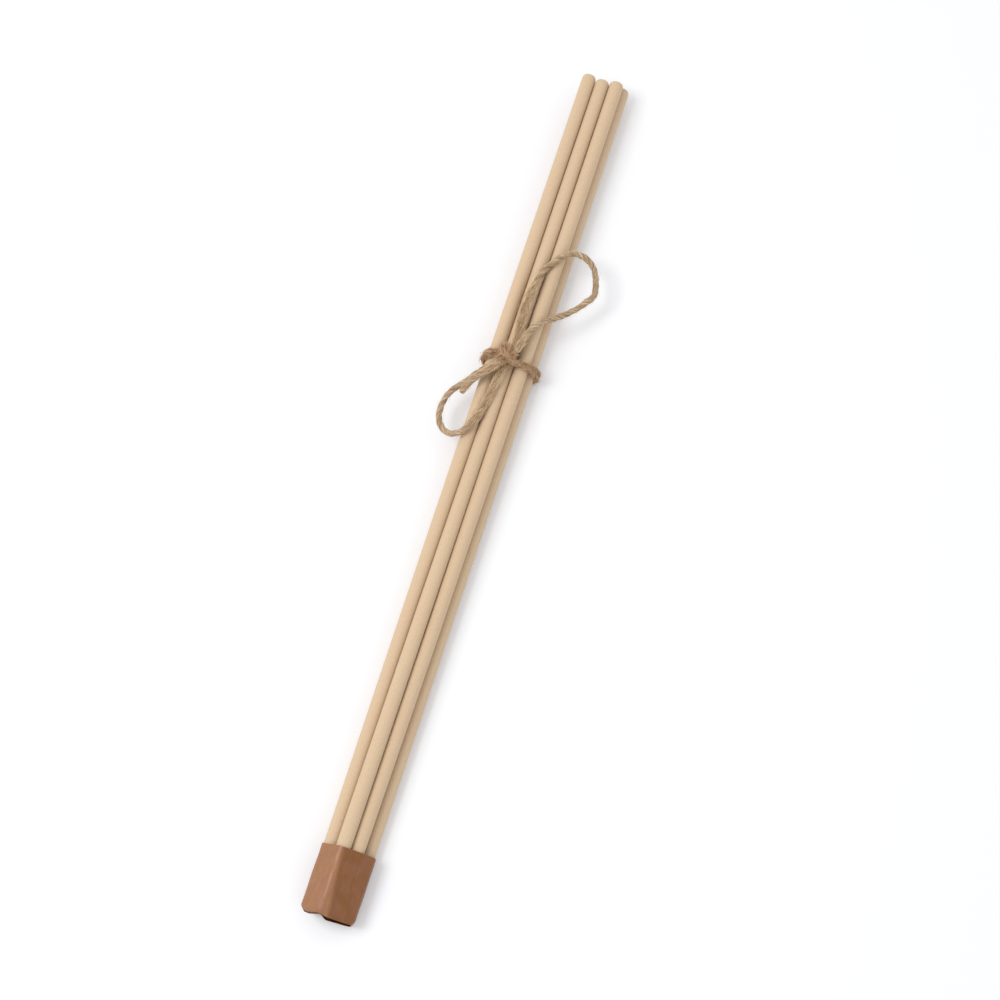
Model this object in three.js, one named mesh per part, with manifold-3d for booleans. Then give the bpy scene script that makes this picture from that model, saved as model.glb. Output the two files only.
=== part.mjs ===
// A bundle of six reeds, tied with twine in a bow, with the lower ends in a brown sleeve.
// Millimetres, +Z up. The reeds lie along Y with their free ends towards +Y, and the origin is
// on the surface that the bundle lies on, below the middle of the bundle.

import * as THREE from "three";
import { mergeVertices } from "three/addons/utils/BufferGeometryUtils.js";
import Module from "manifold-3d";

// Reeds
const reedLength = 300;
const reedRadius = 2.425;
const reedSides = 24;
const endRoundingAcross = 0.9;
const endRoundingAlong = 1.1;
const endRoundingSteps = 3;

// Places along the bundle where each reed's axis is given
const freeEndY = 151;
const tieY = 40;
const middleY = -54;
const sleeveEndY = -151;
const stationsY = [freeEndY, tieY, middleY, sleeveEndY];

// Sleeve
const sleeveMouthY = -129;
const sleeveWall = 0.35;
const sleeveClearance = 0.12;
const sleeveMouthSlant = THREE.MathUtils.degToRad(2.5);
const sleeveTaperAlong = 1.8;
const sleeveTaperAcross = 1.3;
const sleeveTaperSteps = 2;
const sleeveLip = 0.9;
const sleeveCrease = { x: 7.25, z: 5.85, radius: 1.4 };
const notch = { x: -1.6, z: 11.5, depth: 0.8, radius: 3.4 };
const notchLean = { forward: THREE.MathUtils.degToRad(2.9), sideways: THREE.MathUtils.degToRad(6) };

// Twine
const twineRadius = 0.95;
const twineSides = 8;
const turnThickness = 1.7;
const turnWidth = 1.8;
const turnChamfer = 0.5;
const turnClearance = 0.1;
const turnSpacing = 1.3;
const secondTurnSkew = THREE.MathUtils.degToRad(3.5);
const knotCentre = new THREE.Vector3(-1.7, 40.6, 13.1);
const knotHalfSize = new THREE.Vector3(3.9, 3.3, 2.3);
const knotGap = 0.3;
const knotSides = 20;

// Shared by the outlines and cuts
const circleSamples = 32;
const cutSize = 60;
const mergeDistance = 1e-4;
const straightEnough = 1e-9;

// The lowest reeds rest on the underside of the twine and of the sleeve, so the bundle rises a
// little from the sleeve to its free ends.
const lowRowAtTie = turnThickness + turnClearance + reedRadius;
const lowRowAtSleeveEnd = sleeveWall + sleeveClearance + reedRadius;
const rise = (lowRowAtTie - lowRowAtSleeveEnd) / (tieY - sleeveEndY);

// Each reed's free end, and its axis at the stations: across the bundle, and up from the lowest
// row. Three reeds lie on three, and towards the sleeve the middle one of the upper row rides up.
// Its cut end lies furthest from the sleeve's end.
const reeds = {
  reed_1: { end: 150.45, across: [-6.1, -6.1, -5.74, -5.14], up: [4.44, 4.44, 4.52, 4.72] },
  reed_2: { end: 149.85, length: 298.8, across: [-1.13, -1.12, -1.12, -1.15], up: [4.44, 4.44, 6.38, 7.7] },
  reed_3: { end: 150.6, across: [3.82, 3.86, 3.5, 2.88], up: [4.44, 4.44, 4.46, 4.72] },
  reed_4: { end: 151, across: [6.0, 6.07, 6.15, 6.26], up: [0, 0, 0, 0] },
  reed_5: { end: 150.2, across: [-3.87, -3.8, -3.73, -3.62], up: [0, 0, 0, 0] },
  reed_6: { end: 150.7, across: [1.06, 1.13, 1.21, 1.32], up: [0, 0, 0, 0] },
};

// The long loop leaves the knot on the left, runs up along the second reed, turns over the right
// edge of the bundle and comes back down to the knot.
const longLoopRoute = [
  [-0.2, 42.6, 12.5], [-0.5, 48.0, 12.35], [-0.9, 51.9, 12.4], [-1.2, 56.4, 12.45], [-1.2, 61.0, 12.5],
  [-0.9, 65.8, 12.5], [-0.4, 69.8, 12.5], [0.2, 72.6, 12.4], [1.2, 75.1, 12.4], [2.4, 77.1, 12.5],
  [4.1, 79.4, 12.7], [6.4, 81.9, 12.6], [8.9, 83.2, 12.2], [11.6, 83.4, 11.6], [14.3, 82.5, 10.9],
  [16.7, 80.4, 10.2], [18.4, 77.0, 9.6], [19.3, 73.4, 9.2], [19.2, 71.2, 9.2], [17.9, 69.1, 9.4],
  [15.5, 65.5, 9.9], [12.3, 61.8, 10.7], [9.0, 58.8, 11.5], [5.8, 55.9, 12.4], [3.5, 52.7, 13.2],
  [2.1, 48.9, 14.0], [1.5, 45.2, 14.6], [1.1, 42.1, 14.8],
];

// The short loop leaves the knot over the left edge of the bundle and comes back in the groove
// between the first two reeds.
const shortLoopRoute = [
  [-3.6, 38.8, 14.3], [-6.0, 35.9, 13.6], [-8.0, 33.7, 12.9], [-10.2, 31.3, 11.9], [-11.7, 29.4, 11.1],
  [-13.6, 27.5, 10.3], [-15.2, 25.8, 9.7], [-16.6, 23.5, 9.2], [-17.5, 20.8, 8.9], [-17.7, 18.0, 8.7],
  [-17.4, 15.5, 8.8], [-16.3, 12.8, 9.2], [-14.6, 11.0, 9.8], [-12.3, 9.9, 10.5], [-10.1, 10.1, 11.4],
  [-8.1, 11.3, 12.0], [-6.5, 13.4, 12.4], [-5.5, 16.0, 12.2], [-4.6, 19.2, 12.0], [-3.9, 22.3, 11.8],
  [-3.3, 25.7, 11.9], [-2.7, 29.4, 12.2], [-2.2, 33.1, 12.4], [-1.9, 35.9, 12.6], [-1.7, 38.2, 12.9],
];

// The tail lies on the short loop and ends cut off.
const tailRoute = [
  [-2.9, 37.4, 15.9], [-4.7, 35.2, 15.6], [-6.9, 32.8, 14.9], [-8.9, 30.5, 13.9], [-10.4, 28.7, 13.0],
  [-11.7, 26.6, 12.2], [-12.5, 24.1, 11.6],
];
const stepsAlong = { twine_loop_long: 34, twine_loop_short: 24, twine_tail: 6, knot: 7 };

// The collar rises from the turns on the right, crosses over both loops and tucks in behind them.
// The arch is the turns' way over the first reed into the knot.
const collarRoute = [
  [7.6, 40.0, 11.6], [5.6, 40.3, 12.4], [2.8, 40.8, 13.4], [0.2, 41.4, 14.6], [-1.7, 42.2, 15.1],
  [-3.4, 42.6, 14.6], [-4.3, 41.9, 13.6],
];
const archRoute = [
  [-8.6, 38.4, 9.6], [-8.7, 39.3, 11.2], [-8.2, 40.4, 12.3], [-7.0, 41.1, 12.8], [-5.4, 41.2, 13.1],
  [-3.7, 40.6, 13.2],
];

// Materials
const reedMaterial = new THREE.MeshStandardMaterial({ color: "#dbc2a1", roughness: 0.85, metalness: 0 });
const sleeveMaterial = new THREE.MeshStandardMaterial({ color: "#8f5f3e", roughness: 0.55, metalness: 0 });
const twineMaterial = new THREE.MeshStandardMaterial({ color: "#a58a66", roughness: 0.95, metalness: 0 });

const wasm = await Module();
wasm.setup();

function toSolid(geometry) {
  const bare = geometry.clone();
  bare.deleteAttribute("normal");
  bare.deleteAttribute("uv");
  const merged = mergeVertices(bare, mergeDistance);
  return new wasm.Manifold(new wasm.Mesh({
    numProp: 3,
    vertProperties: Float32Array.from(merged.attributes.position.array),
    triVerts: Uint32Array.from(merged.index.array),
  }));
}

function toGeometry(solid) {
  const mesh = solid.getMesh();
  const geometry = new THREE.BufferGeometry();
  geometry.setAttribute("position", new THREE.BufferAttribute(mesh.vertProperties, 3));
  geometry.setIndex(new THREE.BufferAttribute(mesh.triVerts, 1));
  geometry.computeVertexNormals();
  return geometry;
}

function between(values, y) {
  const next = Math.max(1, stationsY.findIndex((station) => station <= y));
  const share = THREE.MathUtils.inverseLerp(stationsY[next - 1], stationsY[next], y);
  return THREE.MathUtils.lerp(values[next - 1], values[next], share);
}

function axisOf(reed, y) {
  const lowRow = lowRowAtSleeveEnd + rise * (y - sleeveEndY);
  return new THREE.Vector2(between(reed.across, y), lowRow + between(reed.up, y));
}

// The rounding of a reed's end, from its flat face out to its side; inward is the way into the reed
function endRounding(endY, inward) {
  return Array.from({ length: endRoundingSteps + 1 }, (_, k) => {
    const angle = (Math.PI / 2) * (k / endRoundingSteps);
    return new THREE.Vector2(
      reedRadius - endRoundingAcross * (1 - Math.sin(angle)),
      endY + inward * endRoundingAlong * (1 - Math.cos(angle)),
    );
  });
}

// A reed is turned as a straight rod with rounded ends, and then laid along its axis.
function reedGeometry(reed) {
  const start = reed.end - (reed.length ?? reedLength);
  const profile = [
    new THREE.Vector2(0, start),
    ...endRounding(start, 1),
    new THREE.Vector2(reedRadius, middleY),
    new THREE.Vector2(reedRadius, tieY),
    ...endRounding(reed.end, -1).reverse(),
    new THREE.Vector2(0, reed.end),
  ];
  const geometry = new THREE.LatheGeometry(profile, reedSides);
  const places = geometry.attributes.position;
  for (let k = 0; k < places.count; k += 1) {
    const axis = axisOf(reed, places.getY(k));
    places.setX(k, places.getX(k) + axis.x);
    places.setZ(k, places.getZ(k) + axis.y);
  }
  geometry.computeVertexNormals();
  return geometry;
}

function convexHull(points) {
  const sorted = [...points].sort((a, b) => a.x - b.x || a.y - b.y);
  const chain = (ordered) => {
    const kept = [];
    for (const point of ordered) {
      while (kept.length > 1) {
        const [a, b] = kept.slice(-2);
        const turn = (b.x - a.x) * (point.y - a.y) - (b.y - a.y) * (point.x - a.x);
        if (turn > straightEnough) break;
        kept.pop();
      }
      kept.push(point);
    }
    return kept.slice(0, -1);
  };
  return [...chain(sorted), ...chain(sorted.reverse())];
}

function circlePoints(centre, radius) {
  return Array.from({ length: circleSamples }, (_, k) => {
    const angle = (2 * Math.PI * k) / circleSamples;
    return new THREE.Vector2(centre.x + radius * Math.cos(angle), centre.y + radius * Math.sin(angle));
  });
}

// The outline round all the reeds, seen along them, at one or more places and this far from them
function outlineRound(places, distance, extra = []) {
  const points = Object.values(reeds).flatMap((reed) => (
    places.flatMap((y) => circlePoints(axisOf(reed, y), reedRadius + distance))
  ));
  return convexHull([...points, ...extra]);
}

// A prism along Y from a high place down to a low one
function alongBundle(shape, fromY, toY, options = {}) {
  const edge = options.bevelThickness ?? 0;
  const geometry = new THREE.ExtrudeGeometry(shape, {
    depth: fromY - toY - 2 * edge,
    bevelEnabled: edge > 0,
    ...options,
  });
  geometry.rotateX(Math.PI / 2);
  geometry.translate(0, fromY - edge, 0);
  return geometry;
}

// The sleeve follows the reeds closely but for a crease down its right side, and draws in past their
// ends to a lip round its open end, which has a worn notch. Its mouth is cut a little aslant.
function sleeveGeometry() {
  const topY = sleeveMouthY + 2 * sleeveTaperAlong;
  const places = [sleeveMouthY, sleeveEndY];
  const creaseCentre = new THREE.Vector2(sleeveCrease.x, sleeveCrease.z);
  const taper = {
    bevelThickness: sleeveTaperAlong,
    bevelSize: sleeveTaperAcross,
    bevelOffset: -sleeveTaperAcross,
    bevelSegments: sleeveTaperSteps,
  };
  const outline = (distance) => new THREE.Shape(
    outlineRound(places, distance, circlePoints(creaseCentre, sleeveCrease.radius + distance)),
  );
  const outside = alongBundle(outline(sleeveClearance + sleeveWall), topY, sleeveEndY, taper);
  const inside = alongBundle(outline(sleeveClearance), topY, sleeveEndY + sleeveWall, taper);
  const openEnd = alongBundle(outline(sleeveClearance - sleeveLip), topY, sleeveEndY - sleeveWall);
  const beyondMouth = new THREE.BoxGeometry(cutSize, cutSize, cutSize);
  beyondMouth.translate(0, cutSize / 2, 0);
  beyondMouth.rotateZ(sleeveMouthSlant);
  beyondMouth.translate(0, sleeveMouthY, 0);
  const notchCut = new THREE.CylinderGeometry(notch.radius, notch.radius, cutSize, reedSides);
  notchCut.rotateX(Math.PI / 2);
  notchCut.rotateX(notchLean.forward);
  notchCut.rotateY(notchLean.sideways);
  notchCut.translate(notch.x, sleeveEndY - notch.radius + notch.depth, notch.z);
  return toGeometry([inside, openEnd, beyondMouth, notchCut].reduce(
    (left, cut) => left.subtract(toSolid(cut)),
    toSolid(outside),
  ));
}

function turnRound(centreY, skew) {
  const shape = new THREE.Shape(outlineRound([tieY], turnClearance + turnThickness));
  shape.holes.push(new THREE.Path(outlineRound([tieY], turnClearance)));
  const geometry = alongBundle(shape, turnWidth / 2, -turnWidth / 2, {
    bevelThickness: turnChamfer,
    bevelSize: turnChamfer,
    bevelOffset: -turnChamfer,
    bevelSegments: 1,
  });
  const places = geometry.attributes.position;
  for (let k = 0; k < places.count; k += 1) {
    places.setY(k, places.getY(k) + centreY - Math.tan(skew) * (places.getX(k) - knotCentre.x));
  }
  return toSolid(geometry);
}

function strandSolid(route, steps, grow = 0) {
  const curve = new THREE.CatmullRomCurve3(route.map((place) => new THREE.Vector3(...place)));
  const radius = twineRadius + grow;
  const section = new THREE.Shape(Array.from({ length: twineSides }, (_, k) => {
    const angle = (2 * Math.PI * (k + 0.5)) / twineSides;
    return new THREE.Vector2(radius * Math.cos(angle), radius * Math.sin(angle));
  }));
  return toSolid(new THREE.ExtrudeGeometry(section, { steps, extrudePath: curve }));
}

// The knot is a ball of strands, with its collar and its arch standing out from it.
function knotSolid(grow) {
  const ball = new THREE.SphereGeometry(1, knotSides, knotSides / 2);
  ball.scale(knotHalfSize.x + grow, knotHalfSize.y + grow, knotHalfSize.z + grow);
  ball.translate(knotCentre.x, knotCentre.y, knotCentre.z);
  const collar = strandSolid(collarRoute, stepsAlong.knot, grow);
  const arch = strandSolid(archRoute, stepsAlong.knot, grow);
  return toSolid(ball).add(collar).add(arch);
}

// Two turns lie side by side, held by the knot on top, and part a little towards the right.
function wrapSolid() {
  const core = toSolid(alongBundle(
    new THREE.Shape(outlineRound([tieY], turnClearance)),
    tieY + 2 * knotHalfSize.y,
    tieY - 2 * knotHalfSize.y,
  ));
  const upper = turnRound(tieY + turnSpacing / 2, 0);
  const lower = turnRound(tieY - turnSpacing / 2, secondTurnSkew);
  return upper.add(lower).add(knotSolid(0).subtract(core));
}

function strandGeometry(name, route) {
  return toGeometry(strandSolid(route, stepsAlong[name]).subtract(knotSolid(knotGap)));
}

function addPiece(name, geometry, material) {
  const piece = new THREE.Mesh(geometry, material.clone());
  piece.name = name;
  group.add(piece);
}

const group = new THREE.Group();
for (const [name, reed] of Object.entries(reeds)) {
  addPiece(name, reedGeometry(reed), reedMaterial);
}
addPiece("sleeve", sleeveGeometry(), sleeveMaterial);
addPiece("twine_wrap", toGeometry(wrapSolid()), twineMaterial);
addPiece("twine_loop_long", strandGeometry("twine_loop_long", longLoopRoute), twineMaterial);
addPiece("twine_loop_short", strandGeometry("twine_loop_short", shortLoopRoute), twineMaterial);
addPiece("twine_tail", strandGeometry("twine_tail", tailRoute), twineMaterial);

export default group;
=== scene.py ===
"""A bundle of six reeds tied with jute twine in a bow, with the lower ends in a brown sleeve.

Metres, +Z up. The reeds lie along Y with their free ends towards +Y, on the surface z = 0.
"""

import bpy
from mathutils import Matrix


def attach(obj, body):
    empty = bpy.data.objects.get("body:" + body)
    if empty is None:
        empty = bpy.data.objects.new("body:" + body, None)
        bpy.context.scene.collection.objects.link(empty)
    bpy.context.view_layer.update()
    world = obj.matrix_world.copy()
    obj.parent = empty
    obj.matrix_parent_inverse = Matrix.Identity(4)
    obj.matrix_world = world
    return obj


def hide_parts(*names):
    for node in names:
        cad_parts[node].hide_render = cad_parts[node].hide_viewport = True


bl_info = {
    "name": "Reed Bundle",
    "version": (1, 0, 0),
    "blender": (4, 5, 0),
    "location": "3D View > Sidebar > Reed Bundle",
    "description": "Makes a bundle of reeds with a twine bow and a sleeve",
    "category": "Add Mesh",
}

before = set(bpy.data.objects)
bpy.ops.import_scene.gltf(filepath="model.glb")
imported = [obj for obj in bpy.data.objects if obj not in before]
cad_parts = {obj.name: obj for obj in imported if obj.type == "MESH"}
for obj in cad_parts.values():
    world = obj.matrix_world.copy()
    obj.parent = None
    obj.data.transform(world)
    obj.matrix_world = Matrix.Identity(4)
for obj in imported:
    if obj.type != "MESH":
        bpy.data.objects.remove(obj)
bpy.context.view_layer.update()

import math
import random

import bmesh
import bpy
from bpy.props import FloatProperty, FloatVectorProperty, IntProperty, PointerProperty
from mathutils import Euler, Matrix, Vector, noise

MM = 0.001
BODY = "root"

# These lengths are in millimetres and the angles in degrees, unless a comment says otherwise

# Places along the bundle where each reed's axis is given: free end, tie, middle, sleeve end
STATIONS = [151, 40, -54, -151]
TIE_Y = 40
SLEEVE_MOUTH_Y = -129
SLEEVE_END_Y = -151

# Each reed's free end and length, and its axis at the stations: across the bundle, and up from
# the lowest row
REEDS = {
    "reed_1": (150.45, 300, (-6.1, -6.1, -5.74, -5.14), (4.44, 4.44, 4.52, 4.72)),
    "reed_2": (149.85, 298.8, (-1.13, -1.12, -1.12, -1.15), (4.44, 4.44, 6.38, 7.7)),
    "reed_3": (150.6, 300, (3.82, 3.86, 3.5, 2.88), (4.44, 4.44, 4.46, 4.72)),
    "reed_4": (151, 300, (6.0, 6.07, 6.15, 6.26), (0, 0, 0, 0)),
    "reed_5": (150.2, 300, (-3.87, -3.8, -3.73, -3.62), (0, 0, 0, 0)),
    "reed_6": (150.7, 300, (1.06, 1.13, 1.21, 1.32), (0, 0, 0, 0)),
}

# The height of the lower row's axes, which changes evenly along the bundle
LOW_ROW_AT_TIE = 4.225
LOW_ROW_AT_SLEEVE_END = 2.895

# A reed's ends: the rounding is this many times longer than wide, and the cut end has a flat
# border and then a slight hollow. The last number is the cuts along a reed.
ROUNDING_STRETCH = 1.5
CUT_BORDER = 0.35
CUT_HOLLOW = 0.06
REED_CUTS = 150

# A point (x, z) inside the outline round the reeds, from which the sleeve and the turns reach out
BUNDLE_CENTRE = (0.5, 6.4)
OUTLINE_STEPS = 48

# The twine's routes, in millimetres
LONG_LOOP = [
    (-0.2, 42.6, 12.5), (-0.5, 48.0, 12.35), (-0.9, 51.9, 12.4), (-1.2, 56.4, 12.45),
    (-1.2, 61.0, 12.5), (-0.9, 65.8, 12.5), (-0.4, 69.8, 12.5), (0.2, 72.6, 12.4),
    (1.2, 75.1, 12.4), (2.4, 77.1, 12.5), (4.1, 79.4, 12.7), (6.4, 81.9, 12.6),
    (8.9, 83.2, 12.2), (11.6, 83.4, 11.6), (14.3, 82.5, 10.9), (16.7, 80.4, 10.2),
    (18.4, 77.0, 9.6), (19.3, 73.4, 9.2), (19.2, 71.2, 9.2), (17.9, 69.1, 9.4),
    (15.5, 65.5, 9.9), (12.3, 61.8, 10.7), (9.0, 58.8, 11.5), (5.8, 55.9, 12.4),
    (3.5, 52.7, 13.2), (2.1, 48.9, 14.0), (1.5, 45.2, 14.6), (1.1, 42.1, 14.8),
]
SHORT_LOOP = [
    (-3.6, 38.8, 14.3), (-6.0, 35.9, 13.6), (-8.0, 33.7, 12.9), (-10.2, 31.3, 11.9),
    (-11.7, 29.4, 11.1), (-13.6, 27.5, 10.3), (-15.2, 25.8, 9.7), (-16.6, 23.5, 9.2),
    (-17.5, 20.8, 8.9), (-17.7, 18.0, 8.7), (-17.4, 15.5, 8.8), (-16.3, 12.8, 9.2),
    (-14.6, 11.0, 9.8), (-12.3, 9.9, 10.5), (-10.1, 10.1, 11.4), (-8.1, 11.3, 12.0),
    (-6.5, 13.4, 12.4), (-5.5, 16.0, 12.2), (-4.6, 19.2, 12.0), (-3.9, 22.3, 11.8),
    (-3.3, 25.7, 11.9), (-2.7, 29.4, 12.2), (-2.2, 33.1, 12.4), (-1.9, 35.9, 12.6),
    (-1.7, 38.2, 12.9),
]
TAIL = [
    (-2.9, 37.4, 15.9), (-4.7, 35.2, 15.6), (-6.9, 32.8, 14.9), (-8.9, 30.5, 13.9),
    (-10.4, 28.7, 13.0), (-11.7, 26.6, 12.2), (-12.5, 24.1, 11.6),
]

# The knot's strands. The collar goes over the crossing, down the right side, twice round the
# reeds, and up the left side into the arch over the first reed.
COLLAR = [
    (-3.2, 43.6, 12.3), (-4.0, 43.1, 13.6), (-3.7, 42.0, 14.9), (-2.7, 40.6, 15.7),
    (-1.2, 39.4, 15.9), (0.5, 38.7, 15.4), (2.1, 38.8, 14.3), (3.6, 39.3, 13.0),
    (5.5, 40.0, 11.8), (7.2, 40.3, 9.9), (8.8, 40.6, 6.9),
]
ARCH = [
    (-9.4, 38.7, 8.9), (-9.2, 39.0, 10.6), (-8.7, 40.2, 12.1), (-7.4, 41.1, 12.9),
    (-5.7, 41.3, 13.3), (-4.0, 40.9, 13.4), (-2.2, 40.2, 13.2),
]
SHORT_LOOP_ROOT = [
    (-4.8, 37.4, 14.0), (-3.6, 38.8, 14.3), (-2.4, 40.3, 14.3), (-1.2, 41.5, 13.8),
    (-0.4, 42.4, 13.0),
]
TAIL_ROOT = [
    (-3.8, 36.3, 15.8), (-2.9, 37.4, 15.7), (-1.9, 38.7, 14.9), (-0.8, 40.0, 14.2),
    (0.4, 41.3, 14.2), (1.2, 42.4, 14.7),
]
RETURN_ROOT = [(-1.9, 36.4, 12.6), (-1.6, 38.2, 12.9), (-1.4, 40.2, 12.8), (-0.7, 42.2, 12.4)]
TRIMMED_END = [(-1.6, 41.0, 13.4), (-2.2, 42.4, 14.0), (-2.9, 43.9, 14.1), (-3.2, 44.6, 13.9)]

# The two turns round the reeds: from the collar at the start angle, clockwise through the sweep,
# with their middle line at a distance from the reeds, while y drops from its start
TURNS_DISTANCE = 0.9
TURNS_START = -15
TURNS_SWEEP = 525
TURNS_STEP = 15
TURNS_START_Y = 40.6
TURNS_DROP = 2.2

# Half the thickness of the pressed twine in the turns, and of the trimmed end
TURNS_RADIUS = 0.9
TRIMMED_RADIUS = 0.62

# Where the twine has come loose: from and to along it, and by how much, as a share of its radius
LONG_LOOP_LOOSE = [(-5, 27, 0.32), (90, 110, 0.2)]
SHORT_LOOP_LOOSE = [(-5, 4, 0.12), (45, 80, 0.28)]
TAIL_LOOSE = [(-5, 8, 0.15), (15, 25, 0.15)]
ROOT_LOOSE = [(-5, 10, 0.12)]
RETURN_LOOSE = [(-5, 10, 0.3)]
TRIMMED_LOOSE = [(-5, 10, 0.4)]

# It comes loose over twice this length. Loose twine is wider, rougher and flatter, and its plies
# take longer to go round; each is per unit of looseness.
LOOSENING_LENGTH = 3
LOOSE_WIDENING = 0.55
LOOSE_ROUGHNESS = 0.3
LOOSE_FLATTENING = 0.9
LOOSE_LAY = 3

# How much the twine's thickness and lay change along it, as shares, and how long a taper is
THICKNESS_CHANGE = 0.09
LAY_CHANGE = 0.25
TAPER_LENGTH = 1.5

# The twine's mesh: its plies, how far off its middle they are as a share of its radius, the points
# round it, the distance from ring to ring, and the steps of its curve from point to point
PLIES = 3
PLY_OFFSET = 0.36
STEPS_ROUND = 30
STEP_ALONG = 0.3
CURVE_STEPS = 20

# Loose fibres, as ranges: length, lift off the twine at the far end for those that stray and those
# that don't, width, turn round the twine in radians, and sideways curl
FIBRE_LENGTH = (1, 3)
STRAY_LIFT = (0.4, 1.4)
FLAT_LIFT = (0, 0.3)
FIBRE_WIDTH = (0.025, 0.05)
FIBRE_TURN = (-0.5, 1.2)
FIBRE_CURL = (-0.3, 0.3)
# Rings along a fibre, the angles of its three corners in radians, and its lowest and highest place
FIBRE_RINGS = 5
FIBRE_CORNERS = (0, 2.1, 4.2)
FIBRE_LOWEST = 0.06
FIBRE_HIGHEST = 16.9

# The sleeve: its length, the faces round its tube and the cuts along it, its crease (x, z,
# radius), its clearance from the reeds, and its two edges, as y against x
SLEEVE_LENGTH = SLEEVE_MOUTH_Y - SLEEVE_END_Y
SLEEVE_SIDES = 240
SLEEVE_CUTS = 69
SLEEVE_CREASE = (7.25, 5.85, 1.4)
SLEEVE_CLEARANCE = 0.12
MOUTH_EDGE = [(-9, -129.75), (-7.6, -129.7), (-1.5, -129.28), (3, -129.22), (9.5, -129.15)]
END_EDGE = [
    (-9, -151.5), (-5.7, -151.65), (-4.4, -151.5), (-3.3, -151.2), (-1.9, -150.9), (-0.5, -150.92),
    (0.5, -151.08), (1.4, -151.2), (3, -151.12), (6, -151.06), (8, -151.0), (9.5, -150.9),
]
# The end's edge is given as it is seen at this height. For each millimetre below that, it is read
# this much further across, and on the left it ends this much further in. On the right the
# underside reaches further out.
END_EDGE_HEIGHT = 11.5
END_SHIFT = 0.106
END_LEAN = 0.05
UNDERSIDE_REACH = 0.36
# The last part of the sleeve is drawn in
DRAWN_IN = 1.5
DRAWN_IN_LENGTH = 1.9

# The camera: its tilt from straight down, its turn, the point that it looks at, its distance from
# there, and its lens and sensor
CAMERA_TILT = 16.534
CAMERA_TURN = 17.704
CAMERA_TARGET = (10.561, -5.401, 5.0)
CAMERA_DISTANCE = 655.134
CAMERA_LENS = 71.3645
CAMERA_SENSOR = 36

# The floor and the large light in metres; the light's place is across and up in the picture
FLOOR_SIZE = 3
LIGHT_SIZE = 0.4
LIGHT_PLACE = (-0.5, 0.05, 0)
LIGHT_HEIGHT = 0.8


def linear(hex_colour):
    """The linear colour of an sRGB hex value."""
    channels = [int(hex_colour[k:k + 2], 16) / 255 for k in (1, 3, 5)]
    return [c / 12.92 if c <= 0.04045 else ((c + 0.055) / 1.055) ** 2.4 for c in channels]


def length_property(name, description, default):
    """A length setting, with its default in millimetres."""
    return FloatProperty(
        name=name, description=description, default=default * MM, unit="LENGTH", precision=5
    )


def colour_property(name, description, default):
    """A colour setting, with its default as an sRGB hex value."""
    return FloatVectorProperty(
        name=name, description=description, default=linear(default), subtype="COLOR",
        min=0, max=1,
    )


class ReedSettings(bpy.types.PropertyGroup):
    """Sizes and colours of the reeds."""

    radius: length_property("Radius", "Half the thickness of a reed", 2.425)
    end_rounding: length_property("End Rounding", "Width of the rounding at a reed's ends", 1.1)
    sides: IntProperty(name="Sides", description="Faces round a reed", default=48)
    cream: colour_property("Cream", "Main colour of the fibres", "#CBB493")
    pink: colour_property("Pinkish Cream", "Colour of the warmer patches", "#CCAE90")


class SleeveSettings(bpy.types.PropertyGroup):
    """Sizes and colours of the sleeve."""

    wall: length_property("Wall", "Thickness of the sleeve's material", 0.35)
    brown: colour_property("Brown", "Main colour of the sleeve", "#80522C")
    # Colour of the painted sheen and highlight on the left facet and the ridge
    painted_sheen: colour_property("Sheen Brown", "Colour of the painted sheen", "#A07455")
    red: colour_property("Red Brown", "Colour of its redder patches", "#8E6250")


class TwineSettings(bpy.types.PropertyGroup):
    """Sizes and colours of the jute twine."""

    radius: length_property("Radius", "Half the thickness of the twine", 1.08)
    lay: length_property("Lay", "Length in which a ply goes once round", 9)
    straw: colour_property("Straw", "Colour of the pale fibres", "#CFBCA0")
    tan: colour_property("Tan", "Main colour of the fibres", "#9D8264")
    bark: colour_property("Bark", "Colour of the dark fibres", "#664A35")
    loose_pale: colour_property("Pale Loose Fibre", "Palest loose fibres", "#F0DAB2")
    loose_dark: colour_property("Dark Loose Fibre", "Darkest loose fibres", "#AC835E")
    # The knot's twine is tinted darker by this colour
    knot_tint: colour_property("Knot Tint", "Darker tint of the knot's twine", "#EEE2DB")


class StageSettings(bpy.types.PropertyGroup):
    """Colours of the floor and strengths of the lights."""

    floor: colour_property("Floor", "Colour of the floor", "#E2E3E6")
    glow: FloatProperty(name="Glow", description="Light from below the floor", default=0.12)
    key: FloatProperty(name="Key", description="Power of the large light", default=3.85, unit="POWER")
    sky: FloatProperty(name="Sky", description="Strength of the light from all round", default=0.88)


class ReedBundleSettings(bpy.types.PropertyGroup):
    """All the settings of the bundle."""

    reed: PointerProperty(type=ReedSettings)
    sleeve: PointerProperty(type=SleeveSettings)
    twine: PointerProperty(type=TwineSettings)
    stage: PointerProperty(type=StageSettings)


def settings():
    """The bundle's settings in this scene."""
    return bpy.context.scene.reed_bundle


# Materials


def new_material(name):
    """Makes a material with nodes, and returns it and its main shader."""
    material = bpy.data.materials.new(name)
    material.use_nodes = True
    return material, material.node_tree.nodes["Principled BSDF"]


def add_node(material, kind, inputs, **options):
    """Adds a node; inputs gives values, or other nodes' outputs, for its sockets."""
    made = material.node_tree.nodes.new(kind)
    for name, value in options.items():
        setattr(made, name, value)
    for socket, value in inputs.items():
        if isinstance(value, bpy.types.NodeSocket):
            material.node_tree.links.new(value, made.inputs[socket])
        else:
            made.inputs[socket].default_value = value
    return made


def link(material, output, shader, socket):
    """Leads a node's output to one of the shader's sockets."""
    material.node_tree.links.new(output, shader.inputs[socket])


def opaque(colour):
    """The colour with an alpha of 1."""
    return (*colour, 1)


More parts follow.
